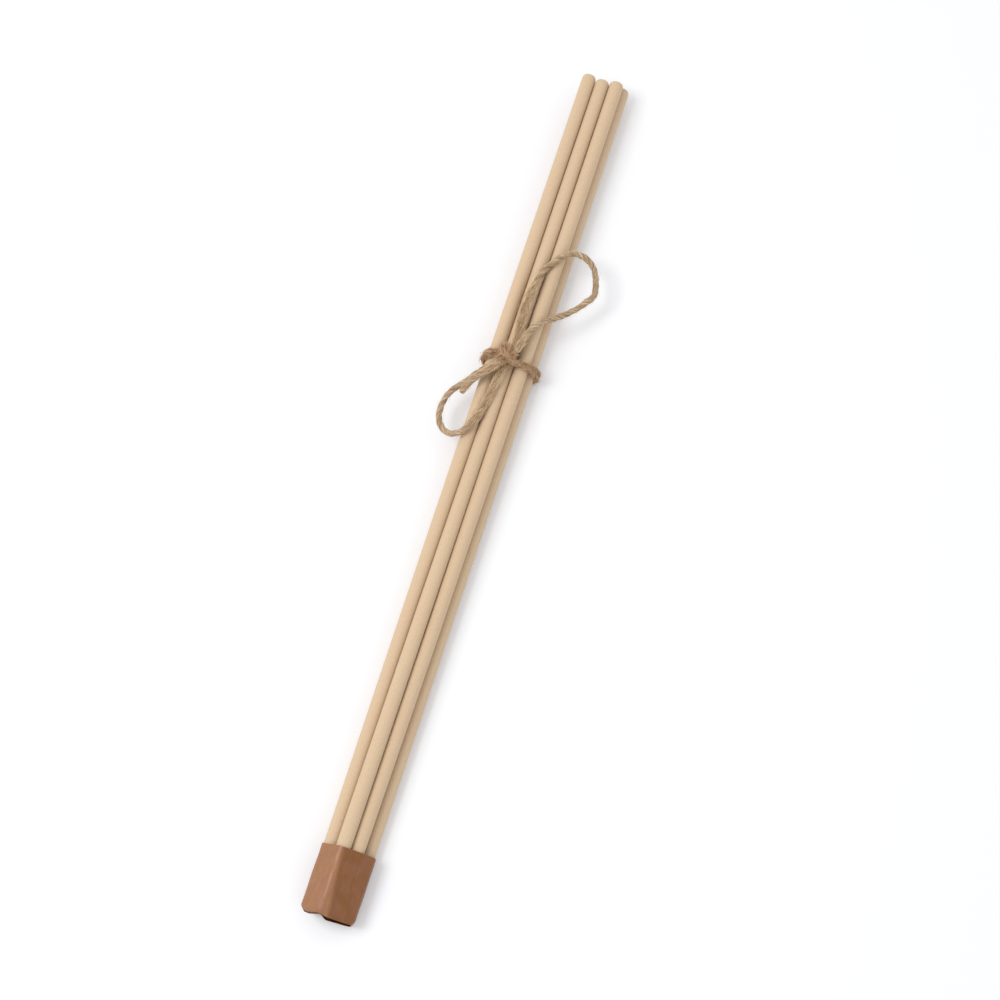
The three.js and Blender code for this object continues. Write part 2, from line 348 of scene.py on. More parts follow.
def reed_material():
    """Pressed plant fibre: pale, dry and matte, with short fibres lying aslant on its surface."""
    reed = settings().reed
    material, shader = new_material("pressed_reed_fibre")
    where = add_node(material, "ShaderNodeUVMap", {}, uv_map="along")
    patches = add_node(material, "ShaderNodeMapping", {
        "Vector": where.outputs["UV"], "Scale": (0.25, 0.05, 1),
    })
    patch = add_node(material, "ShaderNodeTexNoise", {
        "Vector": patches.outputs["Vector"], "Scale": 1, "Detail": 2,
    })
    slant = add_node(material, "ShaderNodeMapping", {
        "Vector": where.outputs["UV"], "Rotation": (0, 0, math.radians(32)),
    })
    thin = add_node(material, "ShaderNodeMapping", {
        "Vector": slant.outputs["Vector"], "Scale": (5, 0.9, 1),
    })
    fibre = add_node(material, "ShaderNodeTexNoise", {
        "Vector": thin.outputs["Vector"], "Scale": 1, "Detail": 3, "Roughness": 0.6,
    })
    warm = add_node(material, "ShaderNodeMix", {
        "Factor": patch.outputs["Fac"], "A": opaque(reed.cream), "B": opaque(reed.pink),
    }, data_type="RGBA")
    shade = add_node(material, "ShaderNodeMapRange", {
        "Value": fibre.outputs["Fac"], "From Min": 0.3, "From Max": 0.7,
        "To Min": 0.9, "To Max": 1.08,
    })
    colour = add_node(material, "ShaderNodeVectorMath", {
        0: warm.outputs["Result"], 3: shade.outputs["Result"],
    }, operation="SCALE")
    relief = add_node(material, "ShaderNodeBump", {
        "Height": fibre.outputs["Fac"], "Strength": 0.35, "Distance": 0.08 * MM,
    })
    link(material, colour.outputs["Vector"], shader, "Base Color")
    link(material, relief.outputs["Normal"], shader, "Normal")
    shader.inputs["Roughness"].default_value = 0.85
    shader.inputs["Sheen Weight"].default_value = 0.15
    shader.inputs["Sheen Roughness"].default_value = 0.5
    return material


def sleeve_material():
    """Thin dyed leather: fine-grained, with a low sheen; its colour is painted paler as sheen and
    highlight, and darker as shade inside.
    """
    sleeve = settings().sleeve
    material, shader = new_material("dyed_leather")
    where = add_node(material, "ShaderNodeTexCoord", {})
    # Painted sheen and highlight above zero, darkening below zero
    painted_sheen = add_node(material, "ShaderNodeAttribute", {}, attribute_name="sheen_and_darkening")
    # Grain about 0.4 mm across
    grain = add_node(material, "ShaderNodeTexNoise", {
        "Vector": where.outputs["Object"], "Scale": 2500, "Detail": 3, "Roughness": 0.6,
    })
    # Marks from handling, 1 mm wide and 5 mm long
    mark_size = add_node(material, "ShaderNodeMapping", {
        "Vector": where.outputs["Object"], "Scale": (900, 200, 900),
    })
    mark = add_node(material, "ShaderNodeTexNoise", {
        "Vector": mark_size.outputs["Vector"], "Scale": 1, "Detail": 3,
    })
    patch = add_node(material, "ShaderNodeTexNoise", {
        "Vector": where.outputs["Object"], "Scale": 230, "Detail": 2,
    })
    dyed = add_node(material, "ShaderNodeMix", {
        "Factor": painted_sheen.outputs["Fac"], "A": opaque(sleeve.brown), "B": opaque(sleeve.painted_sheen),
    }, data_type="RGBA", clamp_factor=False)
    # Below zero the colour is darker: painted shade on the inside and over the cut edge, and darker
    # near the end on the left
    brightness = add_node(material, "ShaderNodeMapRange", {
        "Value": painted_sheen.outputs["Fac"], "From Min": -1, "From Max": 0, "To Min": 0.3,
    })
    reddish = add_node(material, "ShaderNodeMapRange", {
        "Value": patch.outputs["Fac"], "From Min": 0.42, "From Max": 0.62, "To Max": 0.3,
    })
    tinted = add_node(material, "ShaderNodeMix", {
        "Factor": reddish.outputs["Result"], "A": dyed.outputs["Result"], "B": opaque(sleeve.red),
    }, data_type="RGBA")
    mixed = add_node(material, "ShaderNodeMix", {
        "Factor": 0.45, "A": grain.outputs["Fac"], "B": mark.outputs["Fac"],
    }, data_type="FLOAT")
    shade = add_node(material, "ShaderNodeMapRange", {
        "Value": mixed.outputs["Result"], "From Min": 0.35, "From Max": 0.65,
        "To Min": 0.88, "To Max": 1.12,
    })
    both = add_node(material, "ShaderNodeMath", {
        0: brightness.outputs["Result"], 1: shade.outputs["Result"],
    }, operation="MULTIPLY")
    colour = add_node(material, "ShaderNodeVectorMath", {
        0: tinted.outputs["Result"], 3: both.outputs["Value"],
    }, operation="SCALE")
    relief = add_node(material, "ShaderNodeBump", {
        "Height": mixed.outputs["Result"], "Strength": 0.25, "Distance": 0.08 * MM,
    })
    link(material, colour.outputs["Vector"], shader, "Base Color")
    link(material, relief.outputs["Normal"], shader, "Normal")
    shader.inputs["Roughness"].default_value = 0.5
    shader.inputs["Specular IOR Level"].default_value = 0.3
    return material


def tinted_twine(material, colour, tint):
    """The colour with a tint over it."""
    return add_node(material, "ShaderNodeVectorMath", {0: colour, 1: tint}, operation="MULTIPLY")


def twine_material(name, tint):
    """Twisted jute: dry straw-coloured to dark brown fibres that run along each ply."""
    twine = settings().twine
    material, shader = new_material(name)
    where = add_node(material, "ShaderNodeUVMap", {}, uv_map="along")
    thin = add_node(material, "ShaderNodeMapping", {
        "Vector": where.outputs["UV"], "Scale": (3, 0.22, 1),
    })
    fibre = add_node(material, "ShaderNodeTexNoise", {
        "Vector": thin.outputs["Vector"], "Scale": 1, "Detail": 4, "Roughness": 0.6,
    })
    long = add_node(material, "ShaderNodeMapping", {
        "Vector": where.outputs["UV"], "Scale": (0.9, 0.12, 1),
    })
    tone = add_node(material, "ShaderNodeTexNoise", {
        "Vector": long.outputs["Vector"], "Scale": 1, "Detail": 2,
    })
    mixed = add_node(material, "ShaderNodeMix", {
        "Factor": 0.35, "A": fibre.outputs["Fac"], "B": tone.outputs["Fac"],
    }, data_type="FLOAT")
    ramp = add_node(material, "ShaderNodeValToRGB", {"Fac": mixed.outputs["Result"]})
    stops = ramp.color_ramp.elements
    stops[0].position = 0.34
    stops[0].color = opaque(twine.bark)
    stops[1].position = 0.62
    stops[1].color = opaque(twine.straw)
    middle = stops.new(0.48)
    middle.color = opaque(twine.tan)
    relief = add_node(material, "ShaderNodeBump", {
        "Height": fibre.outputs["Fac"], "Strength": 0.8, "Distance": 0.15 * MM,
    })
    tinted = tinted_twine(material, ramp.outputs["Color"], tint)
    link(material, tinted.outputs["Vector"], shader, "Base Color")
    link(material, relief.outputs["Normal"], shader, "Normal")
    shader.inputs["Roughness"].default_value = 0.8
    return material


def loose_fibre_material(name, tint):
    """Single jute fibres, each its own tone from dark to pale, and a little glossier than twine."""
    twine = settings().twine
    material, shader = new_material(name)
    tone = add_node(material, "ShaderNodeAttribute", {}, attribute_name="tone")
    colour = add_node(material, "ShaderNodeMix", {
        "Factor": tone.outputs["Fac"], "A": opaque(twine.loose_dark),
        "B": opaque(twine.loose_pale),
    }, data_type="RGBA")
    tinted = tinted_twine(material, colour.outputs["Result"], tint)
    link(material, tinted.outputs["Vector"], shader, "Base Color")
    shader.inputs["Roughness"].default_value = 0.6
    return material


def floor_material():
    """Matt white acrylic on a light table: it glows a little, which lifts the shadows."""
    material, shader = new_material("matt_white_acrylic")
    where = add_node(material, "ShaderNodeTexCoord", {})
    tooth = add_node(material, "ShaderNodeTexNoise", {
        "Vector": where.outputs["Object"], "Scale": 900, "Detail": 2,
    })
    relief = add_node(material, "ShaderNodeBump", {
        "Height": tooth.outputs["Fac"], "Strength": 0.05, "Distance": 0.02 * MM,
    })
    link(material, relief.outputs["Normal"], shader, "Normal")
    shader.inputs["Base Color"].default_value = opaque(settings().stage.floor)
    shader.inputs["Roughness"].default_value = 0.9
    shader.inputs["Emission Color"].default_value = (1, 1, 1, 1)
    shader.inputs["Emission Strength"].default_value = settings().stage.glow
    return material


# Shapes


def select_edges(test):
    """In edit mode, selects the edges whose two ends pass the test."""
    shape = bmesh.from_edit_mesh(bpy.context.object.data)
    bpy.ops.mesh.select_mode(type="EDGE")
    bpy.ops.mesh.select_all(action="DESELECT")
    for edge in shape.edges:
        edge.select = test(*(end.co for end in edge.verts))
    shape.select_flush_mode()
    bmesh.update_edit_mesh(bpy.context.object.data)


def apply_modifiers(ob):
    """Makes the object's modifiers a lasting part of its mesh."""
    bpy.ops.object.select_all(action="DESELECT")
    ob.select_set(True)
    bpy.context.view_layer.objects.active = ob
    for modifier in list(ob.modifiers):
        bpy.ops.object.modifier_apply(modifier=modifier.name)


def smooth(value, start, stop):
    """Goes smoothly from 0 at the start to 1 at the stop."""
    share = min(1, max(0, (value - start) / (stop - start)))
    return share * share * (3 - 2 * share)


def bump_at(value, centre, width):
    """Is 1 at the centre, and falls off smoothly to both sides."""
    return math.exp(-((value - centre) / width) ** 2)


def between(values, y):
    """The value at y, in millimetres, of one that is given at the stations."""
    for k in range(len(STATIONS) - 1):
        if y >= STATIONS[k + 1] or k == len(STATIONS) - 2:
            share = (STATIONS[k] - y) / (STATIONS[k] - STATIONS[k + 1])
            return values[k] + share * (values[k + 1] - values[k])


def reed_axis(name, y):
    """The x and z of a reed's axis at y, in millimetres."""
    _, _, across, up = REEDS[name]
    rise = (LOW_ROW_AT_TIE - LOW_ROW_AT_SLEEVE_END) / (TIE_Y - SLEEVE_END_Y)
    low_row = LOW_ROW_AT_SLEEVE_END + rise * (y - SLEEVE_END_Y)
    return between(across, y), low_row + between(up, y)


def wrap_uv(ob, centre_at):
    """Gives each face its way round the piece and its place along Y, both in millimetres."""
    layer = ob.data.uv_layers.new(name="along")
    ob.data.uv_layers.active = layer
    girth = 2 * math.pi * settings().reed.radius / MM

    def turn(co):
        x, z = centre_at(co.y / MM)
        return math.atan2(co.z / MM - z, co.x / MM - x) / (2 * math.pi)

    for face in ob.data.polygons:
        middle = turn(face.center)
        for corner in face.loop_indices:
            co = ob.data.vertices[ob.data.loops[corner].vertex_index].co
            part = turn(co) - middle
            layer.data[corner].uv = ((middle + part - round(part)) * girth, co.y / MM)


def make_reed(name, material):
    """A rod with rounded, slightly hollowed ends, laid along its axis."""
    reed = settings().reed
    end, length = (value * MM for value in REEDS[name][:2])
    half = length / 2
    middle = end - half
    bpy.ops.object.select_all(action="DESELECT")
    bpy.ops.mesh.primitive_cylinder_add(
        vertices=reed.sides, radius=reed.radius, depth=length,
        location=(0, middle, 0), rotation=(math.pi / 2, 0, 0),
    )
    ob = bpy.context.object
    ob.name = name + "_fibre"
    bpy.ops.object.transform_apply(location=True, rotation=True, scale=True)
    bpy.ops.object.mode_set(mode="EDIT")

    # Round the rims of both ends, then hollow the ends
    select_edges(lambda a, b: abs(a.y - b.y) < MM)
    bpy.ops.mesh.bevel(offset=reed.end_rounding, segments=6, profile=0.55)
    bpy.ops.mesh.select_mode(type="FACE")
    shape = bmesh.from_edit_mesh(ob.data)
    for face in shape.faces:
        face.select = len(face.verts) == reed.sides
    bmesh.update_edit_mesh(ob.data)
    bpy.ops.mesh.inset(thickness=CUT_BORDER * MM)
    bpy.ops.mesh.inset(thickness=CUT_BORDER * MM, depth=-CUT_HOLLOW * MM)

    # Cut the long faces across, so that the rod can follow its axis
    select_edges(lambda a, b: abs(a.y - b.y) > half)
    bpy.ops.mesh.subdivide(number_cuts=REED_CUTS)
    bpy.ops.object.mode_set(mode="OBJECT")
    for vertex in ob.data.vertices:
        from_middle = vertex.co.y - middle
        rounding = abs(from_middle) - (half - reed.end_rounding)
        # Only the rounding's own vertices are moved along, with a little slack in the test
        if rounding > -0.01 * MM:
            stretched = half - ROUNDING_STRETCH * (reed.end_rounding - rounding)
            vertex.co.y = middle + math.copysign(stretched, from_middle)
        x, z = reed_axis(name, vertex.co.y / MM)
        vertex.co.x += x * MM
        vertex.co.z += z * MM
    wrap_uv(ob, lambda y: reed_axis(name, y))
    bpy.ops.object.shade_smooth_by_angle(angle=math.radians(50))
    ob.data.materials.append(material)
    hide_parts(name)
    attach(ob, BODY)


def smooth_curve(points):
    """Close points along a smooth curve through some points."""
    ends = [2 * Vector(points[0]) - Vector(points[1]), 2 * Vector(points[-1]) - Vector(points[-2])]
    knots = [ends[0], *map(Vector, points), ends[1]]
    fine = []
    for k in range(1, len(knots) - 2):
        p0, p1, p2, p3 = knots[k - 1:k + 3]
        # The time from point to point is the root of the distance, so the curve makes no loops
        t1 = (p1 - p0).length ** 0.5
        t2 = t1 + (p2 - p1).length ** 0.5
        t3 = t2 + (p3 - p2).length ** 0.5
        for step in range(CURVE_STEPS):
            t = t1 + (t2 - t1) * step / CURVE_STEPS
            a1 = p0.lerp(p1, t / t1)
            a2 = p1.lerp(p2, (t - t1) / (t2 - t1))
            a3 = p2.lerp(p3, (t - t2) / (t3 - t2))
            b1 = a1.lerp(a2, t / t2)
            b2 = a2.lerp(a3, (t - t1) / (t3 - t1))
            fine.append(b1.lerp(b2, (t - t1) / (t2 - t1)))
    fine.append(knots[-2])
    return fine


def smooth_route(points):
    """Points in metres, a step apart, along a smooth curve through points in millimetres."""
    fine = smooth_curve(points)
    lengths = [0]
    for a, b in zip(fine, fine[1:]):
        lengths.append(lengths[-1] + (b - a).length)
    count = max(2, round(lengths[-1] / STEP_ALONG))
    even = []
    k = 0
    for step in range(count + 1):
        want = lengths[-1] * step / count
        while k < len(lengths) - 2 and lengths[k + 1] < want:
            k += 1
        share = (want - lengths[k]) / (lengths[k + 1] - lengths[k])
        even.append(fine[k].lerp(fine[k + 1], share) * MM)
    return even


def frames_along(path):
    """At each point the way on and two directions across it, turned as little as can be."""
    ways = []
    for k in range(len(path)):
        ways.append((path[min(k + 1, len(path) - 1)] - path[max(k - 1, 0)]).normalized())
    side = ways[0].orthogonal().normalized()
    found = []
    for way in ways:
        side = (side - way * side.dot(way)).normalized()
        found.append((way, side, way.cross(side)))
    return found


def ply_reach(angle):
    """How far the plies' outline reaches at an angle, as a share of the twine's radius."""
    third = 2 * math.pi / PLIES
    away = (angle + third / 2) % third - third / 2
    ply_radius = 1 - PLY_OFFSET
    across = PLY_OFFSET * math.sin(away)
    return PLY_OFFSET * math.cos(away) + math.sqrt(max(0, ply_radius ** 2 - across ** 2))


def loosening(run, loose):
    """How loose the twine is at a distance along it, as a share of its radius."""
    found = 0
    for start, stop, most in loose:
        begun = smooth(run, start - LOOSENING_LENGTH, start + LOOSENING_LENGTH)
        lasting = smooth(run, stop + LOOSENING_LENGTH, stop - LOOSENING_LENGTH)
        found = max(found, most * begun * lasting)
    return found


def join_rings(shape, uv, rings, girth, seed):
    """Adds the faces between the rings of a strand, with the fibres' pattern laid along it."""
    for k in range(len(rings) - 1):
        for j in range(STEPS_ROUND):
            nxt = (j + 1) % STEPS_ROUND
            face = shape.faces.new((rings[k][j], rings[k][nxt], rings[k + 1][nxt], rings[k + 1][j]))
            face.smooth = True
            corners = ((j, k), (j + 1, k), (j + 1, k + 1), (j, k + 1))
            for corner, (around, along) in zip(face.loops, corners):
                # Each seed has a part of the pattern of its own
                corner[uv].uv = (
                    girth * around / STEPS_ROUND + 20 * seed, along * STEP_ALONG + 37 * seed
                )


def close_end(shape, uv, ring, place, order):
    """Closes an end of a strand with faces that meet in its middle."""
    middle = shape.verts.new(place)
    for j in range(STEPS_ROUND):
        pair = (ring[j], ring[(j + 1) % STEPS_ROUND])[::order]
        face = shape.faces.new((*pair, middle))
        for corner in face.loops:
            corner[uv].uv = (corner.vert.co.x / MM, corner.vert.co.z / MM)


def add_strand(shape, uv, points, seed, radius=None, loose=(), taper=0.0, rough=0.06):
    """Adds twisted twine along a route; returns its points, its radius at each, and its loose parts.

    The seed picks the plies' first turn and the part of every noise, so no two strands are alike.
    """
    twine = settings().twine
    radius = radius or twine.radius
    path = smooth_route(points)
    rings = []
    widths = []
    turn = seed * 1.7
    for k, (place, (_, side, other)) in enumerate(zip(path, frames_along(path))):
        run = k * STEP_ALONG
        looser = loosening(run, loose)
        thicker = THICKNESS_CHANGE * noise.noise((run * 0.22, seed * 9.1, 0.5))
        unevenness = 1 + thicker + LOOSE_WIDENING * looser
        from_end = min(k, len(path) - 1 - k) * STEP_ALONG
        narrow = 1 - taper * max(0, 1 - from_end / TAPER_LENGTH) ** 2
        slower = LAY_CHANGE * noise.noise((run * 0.08, seed * 3.3, 7.1))
        turn += 2 * math.pi * STEP_ALONG / (twine.lay / MM * (1 + slower + LOOSE_LAY * looser))
        ring = []
        for j in range(STEPS_ROUND):
            around = 2 * math.pi * (j + 0.5) / STEPS_ROUND - math.pi / PLIES
            lumps = noise.noise((j * 0.5, run * 0.5, seed * 5.7))
            swell = 1 + (rough + LOOSE_ROUGHNESS * looser) * lumps
            reach = radius * ply_reach(around) * unevenness * narrow * swell
            off = reach * (math.cos(around + turn) * side + math.sin(around + turn) * other)
            off.z *= 1 - LOOSE_FLATTENING * looser
            off += place
            off.z = max(off.z, 0)
            ring.append(shape.verts.new(off))
        rings.append(ring)
        widths.append(radius * unevenness * narrow)
    join_rings(shape, uv, rings, 2 * math.pi * radius / MM, seed)
    close_end(shape, uv, rings[0], path[0], -1)
    close_end(shape, uv, rings[-1], path[-1], 1)
    return path, widths, loose


def twine_object(name, shape, material):
    """Puts a finished shape into the scene as a piece of the twine."""
    mesh = bpy.data.meshes.new(name)
    shape.to_mesh(mesh)
    shape.free()
    mesh.materials.append(material)
    ob = bpy.data.objects.new(name, mesh)
    bpy.context.scene.collection.objects.link(ob)
    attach(ob, BODY)
    return ob


def twine_piece(name, material, routes):
    """One piece of twisted twine with a strand along each route, and what is known of the strands."""
    shape = bmesh.new()
    uv = shape.loops.layers.uv.new("along")
    strands = [add_strand(shape, uv, **route) for route in routes]
    return twine_object(name, shape, material), strands


def add_fibre(shape, tone, shade, rings):
    """Adds one thin fibre through rings, each a middle, a width and two directions across."""
    before = None
    for middle, width, out, round_way in rings:
        ring = []
        for a in FIBRE_CORNERS:
            corner = shape.verts.new(middle + width * (math.cos(a) * out + math.sin(a) * round_way))
            corner[tone] = shade
            ring.append(corner)
        if before:
            for j in range(len(ring)):
                n = (j + 1) % len(ring)
                shape.faces.new((before[j], before[n], ring[n], ring[j]))
        else:
            shape.faces.new(ring[::-1])
        before = ring
    shape.faces.new(before)


def loose_fibres(name, strands, material, per_mm, seed, thickness=1.0, straying=0.22):
    """Thin fibres that follow the strands and stand off them.

    Where the twine is loose there are more of them, longer and thicker, and more of them stray.
    """
    chance = random.Random(seed)
    shape = bmesh.new()
    tone = shape.verts.layers.float.new("tone")
    for path, widths, loose in strands:
        frames = frames_along(path)
        for k in range(len(path)):
            looser = loosening(k * STEP_ALONG, loose)
            for _ in range(int(STEP_ALONG * per_mm * (1 + 7 * looser) + chance.random())):
                angle = chance.uniform(0, 2 * math.pi)
                stray = chance.random() < straying + 0.5 * looser
                length = chance.uniform(*FIBRE_LENGTH) + 7 * looser * chance.random()
                lift = chance.uniform(*(STRAY_LIFT if stray else FLAT_LIFT)) * MM
                spread = widths[k] * (0.85 + 0.9 * looser * chance.random())
                turning = chance.uniform(*FIBRE_TURN) / (1 + 4 * looser)
                onwards = chance.choice((-1, 1))
                if not 0 <= k + onwards * length / STEP_ALONG < len(path):
                    onwards = -onwards
                curl = Vector([chance.uniform(*FIBRE_CURL) for _ in range(3)])
                curl = curl * MM * length / FIBRE_LENGTH[1]
                width = chance.uniform(*FIBRE_WIDTH) * thickness * (1 + looser) * MM
                shade = chance.random()
                rings = []
                for step in range(FIBRE_RINGS):
                    share = step / (FIBRE_RINGS - 1)
                    at = min(max(k + round(onwards * length * share / STEP_ALONG), 0), len(path) - 1)
                    way, side, other = frames[at]
                    turned = angle + turning * share
                    out = math.cos(turned) * side + math.sin(turned) * other
                    off = out * (spread + lift * share ** 1.3)
                    off.z *= 1 - LOOSE_FLATTENING * looser
                    middle = path[at] + off + curl * share ** 2
                    middle.z = min(max(middle.z, FIBRE_LOWEST * MM), FIBRE_HIGHEST * MM)
                    # It narrows towards its tip
                    rings.append((middle, width * (1.1 - 0.8 * share), out, way.cross(out)))
                add_fibre(shape, tone, shade, rings)
    bmesh.ops.recalc_face_normals(shape, faces=shape.faces)
    return twine_object(name, shape, material)


def outline_round(places, distance, creases=()):
    """The outline, at a distance, round all the reeds at some places along them and the creases."""
    circles = [(*reed_axis(name, y), settings().reed.radius / MM) for name in REEDS for y in places]
    points = []
    for x, z, radius in [*circles, *creases]:
        for k in range(OUTLINE_STEPS):
            angle = 2 * math.pi * k / OUTLINE_STEPS
            points.append((
                x + (radius + distance) * math.cos(angle), z + (radius + distance) * math.sin(angle),
            ))
    points.sort()

    def chain(ordered):
        """The points on one side of the outline: those where it bends outwards."""
        kept = []
        for point in ordered:
            while len(kept) > 1:
                (ax, az), (bx, bz) = kept[-2:]
                if (bx - ax) * (point[1] - az) - (bz - az) * (point[0] - ax) > 1e-6:
                    break
                kept.pop()
            kept.append(point)
        return kept[:-1]

    return chain(points) + chain(points[::-1])


def reach_of(outline, centre, angle):
    """How far the outline is from a point inside it, in the direction of an angle."""
    way = Vector((math.cos(angle), math.sin(angle)))
    for a, b in zip(outline, outline[1:] + outline[:1]):
        a, b = Vector(a) - centre, Vector(b) - centre
        side = b - a
        across = way.cross(side)
        if abs(across) > 1e-9:
            share = a.cross(way) / across
            if -1e-6 <= share <= 1 + 1e-6 and a.cross(side) / across > 0:
                return a.cross(side) / across
    raise RuntimeError("the outline isn't closed")


def along_edge(edge, x):
    """The y at x of an edge given as pairs, smoothly between them."""
    if x <= edge[0][0]:
        return edge[0][1]
    for (x0, y0), (x1, y1) in zip(edge, edge[1:]):
        if x <= x1:
            return y0 + (y1 - y0) * smooth(x, x0, x1)
    return edge[-1][1]


def sleeve_end_y(x, z, left):
    """Where the sleeve ends, at a place on its outline that is more or less on the left."""
    below = END_EDGE_HEIGHT - z
    seen = along_edge(END_EDGE, x + END_SHIFT * below)
    return seen + END_LEAN * below * left - UNDERSIDE_REACH * (1 - left) * smooth(z, 2, 0.5)


def sleeve_relief(x, y, z, angle):
    """How far the sleeve's surface stands out, with its fold, its dent and its rumples."""
    # The fold runs along the top and deepens towards the end; the dent is in the end's right side
    fold = 0.32 * smooth(y, -131, -149) * bump_at(x, 1.5, 1.3) * smooth(z, 9, 11)
    dent = 0.4 * bump_at(x, 5.4, 1.9) * bump_at(y, -150.2, 0.55) * smooth(z, 6, 8)
    rumple = 0.10 * noise.noise((angle * 2.6, y * 0.16, 3.1))
    rumple += 0.05 * noise.noise((angle * 9, y * 0.09, 8.7)) * smooth(z, 7, 11)
    return fold - dent + rumple


def sleeve_sheen_and_darkening(x, y, z, before_end, left):
    """How much paler the sleeve is painted: painted sheen on the left facet, which faces the light,
    and a painted highlight along the ridge; below zero it is darker, near the end on the left.
    """
    # Painted highlight along the crest of the ridge, broken up along it
    ridge = bump_at(x, -1.5, 0.3) * smooth(noise.noise((y * 0.35, 2.2, x)), -0.4, 0.2)
    # Painted sheen: the left facet, which faces the light, is paler up to a line that slants along
    # the sleeve
    boundary = -1.0 + 2.2 * (SLEEVE_MOUTH_Y - y) / SLEEVE_LENGTH
    side = 0.72 * smooth(x, boundary + 0.9, boundary - 0.7) * smooth(z, 0, 4)
    # Darker near the end's edge on the left
    end_darkening = 1.7 * smooth(before_end, 0.75, 0.1) * left
    shown = side + 0.75 * ridge * smooth(z, 8, 11) * smooth(y, -148, -143) - end_darkening
    return max(-1, min(1.5, shown))


# Operators


class MESH_OT_reed_bundle_reeds(bpy.types.Operator):
    """Make the six reeds"""

    bl_idname = "mesh.reed_bundle_reeds"
    bl_label = "Reeds"

    def execute(self, context):
        material = reed_material()
        for name in REEDS:
            make_reed(name, material)
        return {"FINISHED"}


class MESH_OT_reed_bundle_sleeve(bpy.types.Operator):
    """Make the sleeve round the lower ends"""

    bl_idname = "mesh.reed_bundle_sleeve"
    bl_label = "Sleeve"

    def execute(self, context):
        # A tube of any radius, with enough vertices; each one's reach is found below
        bpy.ops.object.select_all(action="DESELECT")
        bpy.ops.mesh.primitive_cylinder_add(
            vertices=SLEEVE_SIDES, radius=10 * MM, depth=SLEEVE_LENGTH * MM,
            end_fill_type="NOTHING", rotation=(math.pi / 2, 0, 0),
        )
        ob = context.object
        ob.name = "leather_sleeve"
        bpy.ops.object.transform_apply(location=True, rotation=True, scale=True)
        bpy.ops.object.mode_set(mode="EDIT")
        select_edges(lambda a, b: abs(a.y - b.y) > MM)
        bpy.ops.mesh.subdivide(number_cuts=SLEEVE_CUTS)
        bpy.ops.object.mode_set(mode="OBJECT")

        # Each ring is drawn round the reeds, and in towards the end, most at the left corner
        sleeve = settings().sleeve
        places = (SLEEVE_MOUTH_Y, SLEEVE_END_Y)
        distance = SLEEVE_CLEARANCE + sleeve.wall / MM
        full = outline_round(places, distance, [SLEEVE_CREASE])
        drawn = outline_round(places, distance - DRAWN_IN, [SLEEVE_CREASE])
        centre = Vector(BUNDLE_CENTRE)
        reaches = {}
        sheen_and_darkening = ob.data.attributes.new("sheen_and_darkening", "FLOAT", "POINT")
        for vertex in ob.data.vertices:
            share = 0.5 - vertex.co.y / (SLEEVE_LENGTH * MM)
            angle = round(math.atan2(vertex.co.z, vertex.co.x), 5)
            if angle not in reaches:
                reaches[angle] = [reach_of(line, centre, angle) for line in (full, drawn)]
            wide, narrow = reaches[angle]
            x = centre.x + wide * math.cos(angle)
            z = centre.y + wide * math.sin(angle)
            left = smooth(x, 0, -3)
            mouth_y = along_edge(MOUTH_EDGE, x)
            end_y = sleeve_end_y(x, z, left)
            y = mouth_y + (end_y - mouth_y) * share
            drawing = max(0, 1 - (y - end_y) / DRAWN_IN_LENGTH)
            inwards = (wide - narrow) * drawing ** 1.5 * (0.5 + 0.6 * smooth(x, -4, -8))
            reach = wide - inwards + sleeve_relief(x, y, z, angle)
            waver = 0.04 * noise.noise((angle * 12, share * 3, 1.3))
            vertex.co.x = (centre.x + reach * math.cos(angle)) * MM
            vertex.co.z = max(0, centre.y + reach * math.sin(angle)) * MM
            vertex.co.y = (y + waver) * MM
            # Painted sheen and highlight, and darkening near the end on the left
            sheen_and_darkening.data[vertex.index].value = sleeve_sheen_and_darkening(x, y, z, y - end_y, left)

        # The wall is added on the inside, whose colour is painted dark as shade
        outside = len(ob.data.vertices)
        wall = ob.modifiers.new("wall", "SOLIDIFY")
        wall.thickness = sleeve.wall
        wall.offset = -1
        apply_modifiers(ob)
        # The inside's colour is painted darkest, as shade
        for each in ob.data.attributes["sheen_and_darkening"].data[outside:]:
            each.value = -1
        bpy.ops.object.shade_smooth_by_angle(angle=math.radians(40))
        ob.data.materials.append(sleeve_material())
        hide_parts("sleeve")
        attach(ob, BODY)
        return {"FINISHED"}


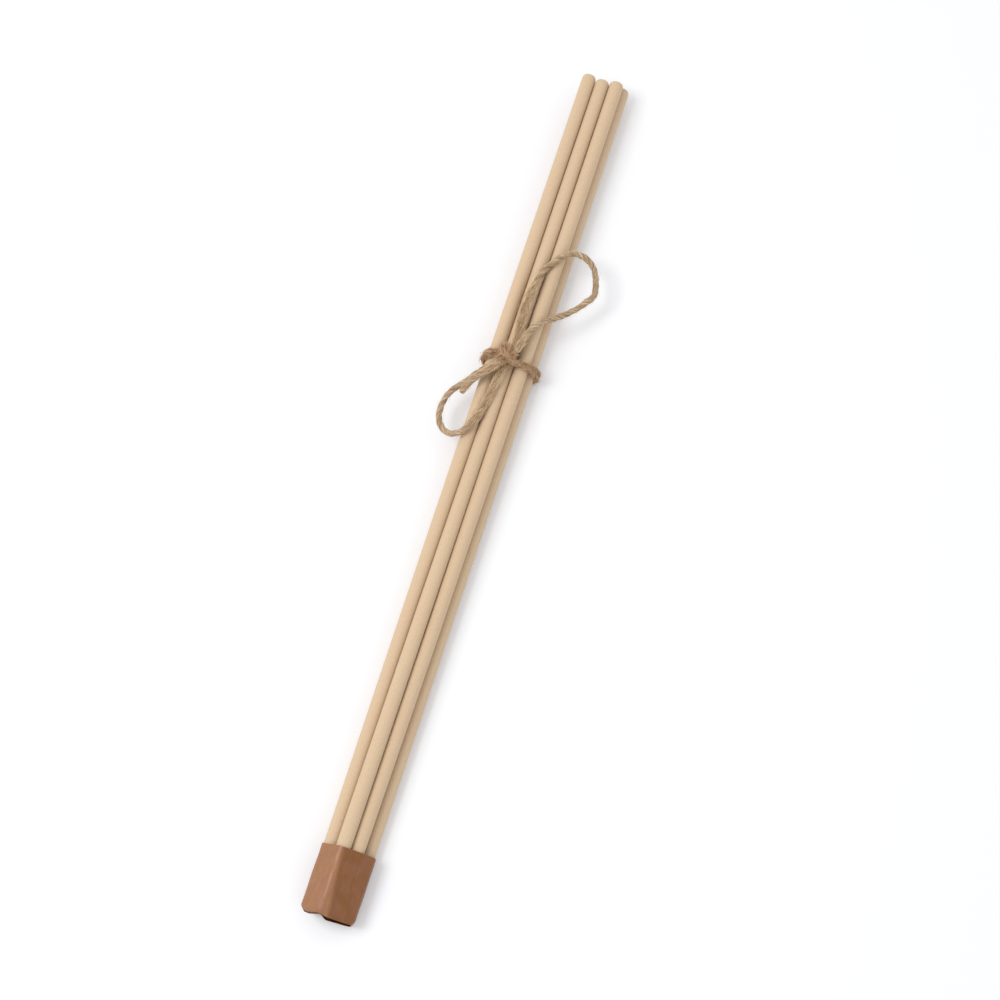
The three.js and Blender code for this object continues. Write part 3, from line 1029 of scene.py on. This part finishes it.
class MESH_OT_reed_bundle_twine(bpy.types.Operator):
    """Make the twine's turns, knot, loops and end"""

    bl_idname = "mesh.reed_bundle_twine"
    bl_label = "Twine"

    def execute(self, context):
        self.make_loops()
        self.make_knot()
        return {"FINISHED"}

    def make_loops(self):
        """The two loops and the end, each with its loose fibres."""
        # The loops and the end are not tinted
        brightness = (1, 1, 1)
        jute = twine_material("twisted_jute", brightness)
        fibre = loose_fibre_material("loose_jute_fibre", brightness)
        long_loop, long_strands = twine_piece("long_loop", jute, [
            {"points": LONG_LOOP, "seed": 1, "loose": LONG_LOOP_LOOSE, "taper": 0.4},
        ])
        short_loop, short_strands = twine_piece("short_loop", jute, [
            {"points": SHORT_LOOP, "seed": 2, "loose": SHORT_LOOP_LOOSE, "taper": 0.3},
        ])
        tail, tail_strands = twine_piece("twine_end", jute, [
            {"points": TAIL, "seed": 3, "loose": TAIL_LOOSE, "taper": 0.45},
        ])
        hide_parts("twine_loop_long")
        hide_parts("twine_loop_short")
        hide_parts("twine_tail")
        long_hairs = loose_fibres("long_loop_fibres", long_strands, fibre, per_mm=14, seed=11)
        short_hairs = loose_fibres("short_loop_fibres", short_strands, fibre, per_mm=14, seed=12)
        tail_hairs = loose_fibres("twine_end_fibres", tail_strands, fibre, per_mm=20, seed=13)

    def make_knot(self):
        """The two turns round the reeds, and the strands of the knot."""
        outline = outline_round([TIE_Y], TURNS_DISTANCE)
        centre = Vector(BUNDLE_CENTRE)
        turns = []
        for swept in range(0, TURNS_SWEEP + 1, TURNS_STEP):
            angle = math.radians(TURNS_START - swept)
            reach = reach_of(outline, centre, angle)
            y = TURNS_START_Y - TURNS_DROP * swept / TURNS_SWEEP
            turns.append((centre.x + reach * math.cos(angle), y, centre.y + reach * math.sin(angle)))
        # The knot's strands and their loose fibres are tinted darker
        knot_tint = tuple(settings().twine.knot_tint)
        jute = twine_material("darker_knot_jute", knot_tint)
        fibre = loose_fibre_material("darker_knot_loose_fibre", knot_tint)
        knot, strands = twine_piece("twine_turns_and_knot", jute, [
            {"points": COLLAR + turns + ARCH, "seed": 4, "radius": TURNS_RADIUS * MM, "rough": 0.3},
            {"points": SHORT_LOOP_ROOT, "seed": 8, "loose": ROOT_LOOSE, "rough": 0.3},
            {"points": TAIL_ROOT, "seed": 9, "loose": ROOT_LOOSE, "rough": 0.3},
            {"points": RETURN_ROOT, "seed": 10, "loose": RETURN_LOOSE},
            {
                "points": TRIMMED_END, "seed": 6, "radius": TRIMMED_RADIUS * MM,
                "loose": TRIMMED_LOOSE, "taper": 0.5,
            },
        ])
        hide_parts("twine_wrap")
        loose_fibres(
            "twine_turn_fibres", strands, fibre, per_mm=26, seed=14, thickness=1.5, straying=0.4
        )


class MESH_OT_reed_bundle_stage(bpy.types.Operator):
    """Make the floor, the lights and the camera"""

    bl_idname = "mesh.reed_bundle_stage"
    bl_label = "Stage"

    def execute(self, context):
        stage = settings().stage
        scene = context.scene
        bpy.ops.object.select_all(action="DESELECT")
        bpy.ops.mesh.primitive_plane_add(size=FLOOR_SIZE, location=(0, 0, 0))
        floor = context.object
        floor.name = "floor"
        floor.data.materials.append(floor_material())

        # The camera looks nearly straight down, turned so that the bundle stands aslant
        turned = (math.radians(CAMERA_TILT), 0, math.radians(CAMERA_TURN))
        view = Euler(turned, "XYZ").to_matrix()
        target = Vector(CAMERA_TARGET) * MM
        camera = bpy.data.objects.new("camera", bpy.data.cameras.new("camera"))
        camera.data.lens = CAMERA_LENS
        camera.data.sensor_width = CAMERA_SENSOR
        camera.data.clip_start = 0.01
        place = target + view @ Vector((0, 0, CAMERA_DISTANCE * MM))
        camera.matrix_world = Matrix.Translation(place) @ view.to_4x4()
        scene.collection.objects.link(camera)
        scene.camera = camera

        # A large soft light from the picture's left
        key = bpy.data.objects.new("key", bpy.data.lights.new("key", "AREA"))
        key.data.shape = "SQUARE"
        key.data.size = LIGHT_SIZE
        key.data.energy = stage.key
        towards_light = view @ Vector(LIGHT_PLACE)
        place = Vector((towards_light.x, towards_light.y, LIGHT_HEIGHT))
        facing = (place - target).to_track_quat("Z", "Y").to_matrix()
        key.matrix_world = Matrix.Translation(place) @ facing.to_4x4()
        scene.collection.objects.link(key)

        world = bpy.data.worlds.new("soft_sky")
        world.use_nodes = True
        sky = world.node_tree.nodes["Background"]
        sky.inputs["Color"].default_value = (1, 1, 1, 1)
        sky.inputs["Strength"].default_value = stage.sky
        scene.world = world
        scene.view_settings.view_transform = "Standard"
        return {"FINISHED"}


class VIEW3D_PT_reed_bundle(bpy.types.Panel):
    """Buttons that make the bundle's pieces, and their settings"""

    bl_label = "Reed Bundle"
    bl_idname = "VIEW3D_PT_reed_bundle"
    bl_space_type = "VIEW_3D"
    bl_region_type = "UI"
    bl_category = "Reed Bundle"

    def draw(self, context):
        for operator in OPERATORS:
            self.layout.operator(operator.bl_idname)
        for group in ("reed", "sleeve", "twine", "stage"):
            values = getattr(settings(), group)
            box = self.layout.box()
            for name in values.bl_rna.properties.keys():
                if name not in ("rna_type", "name"):
                    box.prop(values, name)


OPERATORS = (
    MESH_OT_reed_bundle_stage,
    MESH_OT_reed_bundle_twine,
    MESH_OT_reed_bundle_reeds,
    MESH_OT_reed_bundle_sleeve,
)
CLASSES = (
    ReedSettings, SleeveSettings, TwineSettings, StageSettings, ReedBundleSettings,
    *OPERATORS, VIEW3D_PT_reed_bundle,
)


def register():
    for each in CLASSES:
        bpy.utils.register_class(each)
    bpy.types.Scene.reed_bundle = PointerProperty(type=ReedBundleSettings)


def unregister():
    del bpy.types.Scene.reed_bundle
    for each in reversed(CLASSES):
        bpy.utils.unregister_class(each)


def main():
    register()
    bpy.ops.mesh.reed_bundle_stage()
    bpy.ops.mesh.reed_bundle_twine()
    bpy.ops.mesh.reed_bundle_reeds()
    bpy.ops.mesh.reed_bundle_sleeve()


if __name__ == "__main__":
    main()
